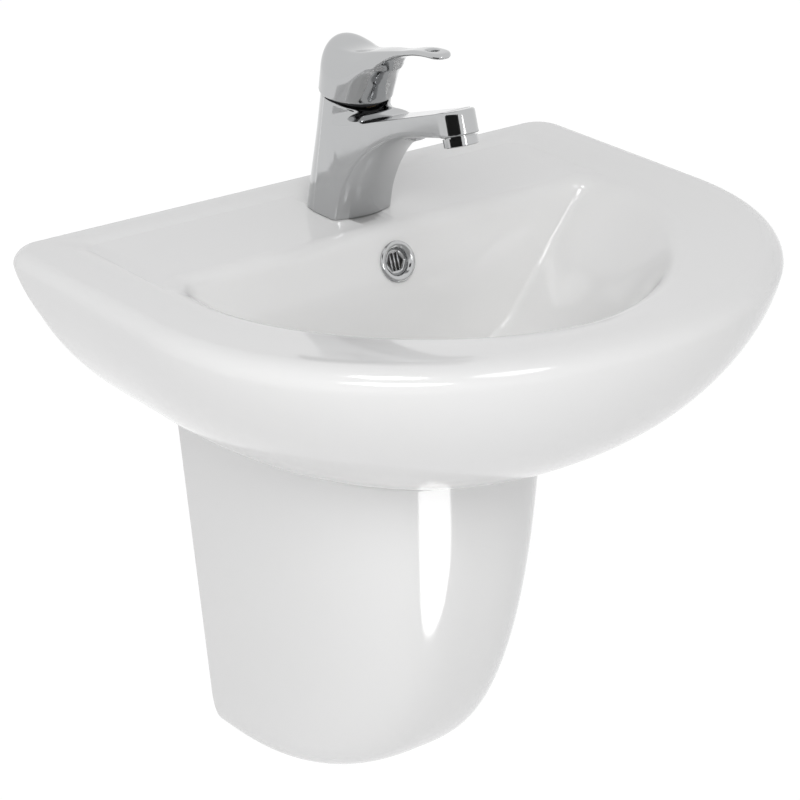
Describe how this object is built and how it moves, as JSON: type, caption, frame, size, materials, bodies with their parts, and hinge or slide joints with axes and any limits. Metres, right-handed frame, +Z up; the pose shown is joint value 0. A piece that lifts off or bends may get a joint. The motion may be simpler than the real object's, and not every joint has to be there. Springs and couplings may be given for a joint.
{
  "type": "wall-hung washbasin with half pedestal",
  "caption": "Wall-hung ceramic washbasin, D-shaped, with a half pedestal that hides the trap, and a single-lever mixer with click waste.",
  "frame": {"origin": "on the wall plane, midway between the two wall bolts of the basin", "axes": "+Z up, +X to the user's right as they face the wall, +Y into the wall, so the front faces -Y"},
  "size_m": [0.494, 0.442, 0.574],
  "materials": {
    "glaze": "white gloss glaze",
    "chrome": "polished chrome plate",
    "steel": "zinc-plated or stainless steel",
    "brass": "turned brass",
    "rubber": "matte black rubber",
    "plastic": "moulded plastic",
    "dark_plastic": "dark moulded plastic",
    "disc_ceramic": "lapped alumina"
  },
  "bodies": {
    "root": {"basin": "glaze", "half_pedestal": "glaze", "overflow_ring": "chrome", "tap_body": "chrome", "aerator_housing": "chrome", "aerator_insert": "plastic", "aerator_seal": "rubber", "cartridge_housing": "plastic", "cartridge_base": "plastic", "port_seals": "rubber", "fixed_disc": "disc_ceramic", "cartridge_nut": "brass", "cover_ring": "dark_plastic", "foot_gasket": "rubber", "fixing_stud": "steel", "horseshoe_gasket": "rubber", "horseshoe_plate": "steel", "tap_nut": "brass", "waste_body": "chrome", "flange_seal": "rubber", "click_cartridge": "plastic", "lower_seal": "rubber", "back_nut": "brass", "tail_nut": "chrome", "tail_washer": "rubber", "trap_tube": "chrome", "trap_top_nut": "chrome", "trap_top_washer": "rubber", "trap_body": "chrome", "trap_cup": "chrome", "cup_seal": "rubber", "outlet_nut": "chrome", "outlet_washer": "rubber", "outlet_pipe": "chrome", "wall_flange": "chrome", "hanger_studs": "steel", "hanger_bushes": "plastic", "hanger_washers": "steel", "hanger_nuts": "steel", "pedestal_studs": "steel", "pedestal_washers": "steel", "pedestal_nuts": "steel"},
    "turret": {"stem_carrier": "plastic", "stem_pin": "steel"},
    "lever": {"lever_stem": "steel", "lever_handle": "chrome", "grub_screw": "steel", "index_plug": "chrome"},
    "disc": {"moving_disc": "disc_ceramic"},
    "plug": {"waste_plug": "chrome", "plug_seal": "rubber", "plug_spindle": "steel"}
  },
  "joints": [
    {"name": "lever_swivel", "type": "hinge", "parent": "root", "child": "turret", "pos_m": [0, -0.0624, 0.0675], "axis": [0, -0.1564, 0.9877], "range_deg": [-45, 45]},
    {"name": "lever_lift", "type": "hinge", "parent": "turret", "child": "lever", "pos_m": [0, -0.07272, 0.13269], "axis": [-1, 0, 0], "range_deg": [0, 25]},
    {"name": "disc_slide", "type": "slide", "parent": "turret", "child": "disc", "axis": [0, -0.9877, -0.1564], "range_m": [0, 0.0055]},
    {"name": "plug_slide", "type": "slide", "parent": "root", "child": "plug", "axis": [0, 0, 1], "range_m": [0, 0.008]}
  ],
  "couplings": [
    {"joint": "disc_slide", "follows": "lever_lift", "m_per_rad": 0.01259}
  ]
}
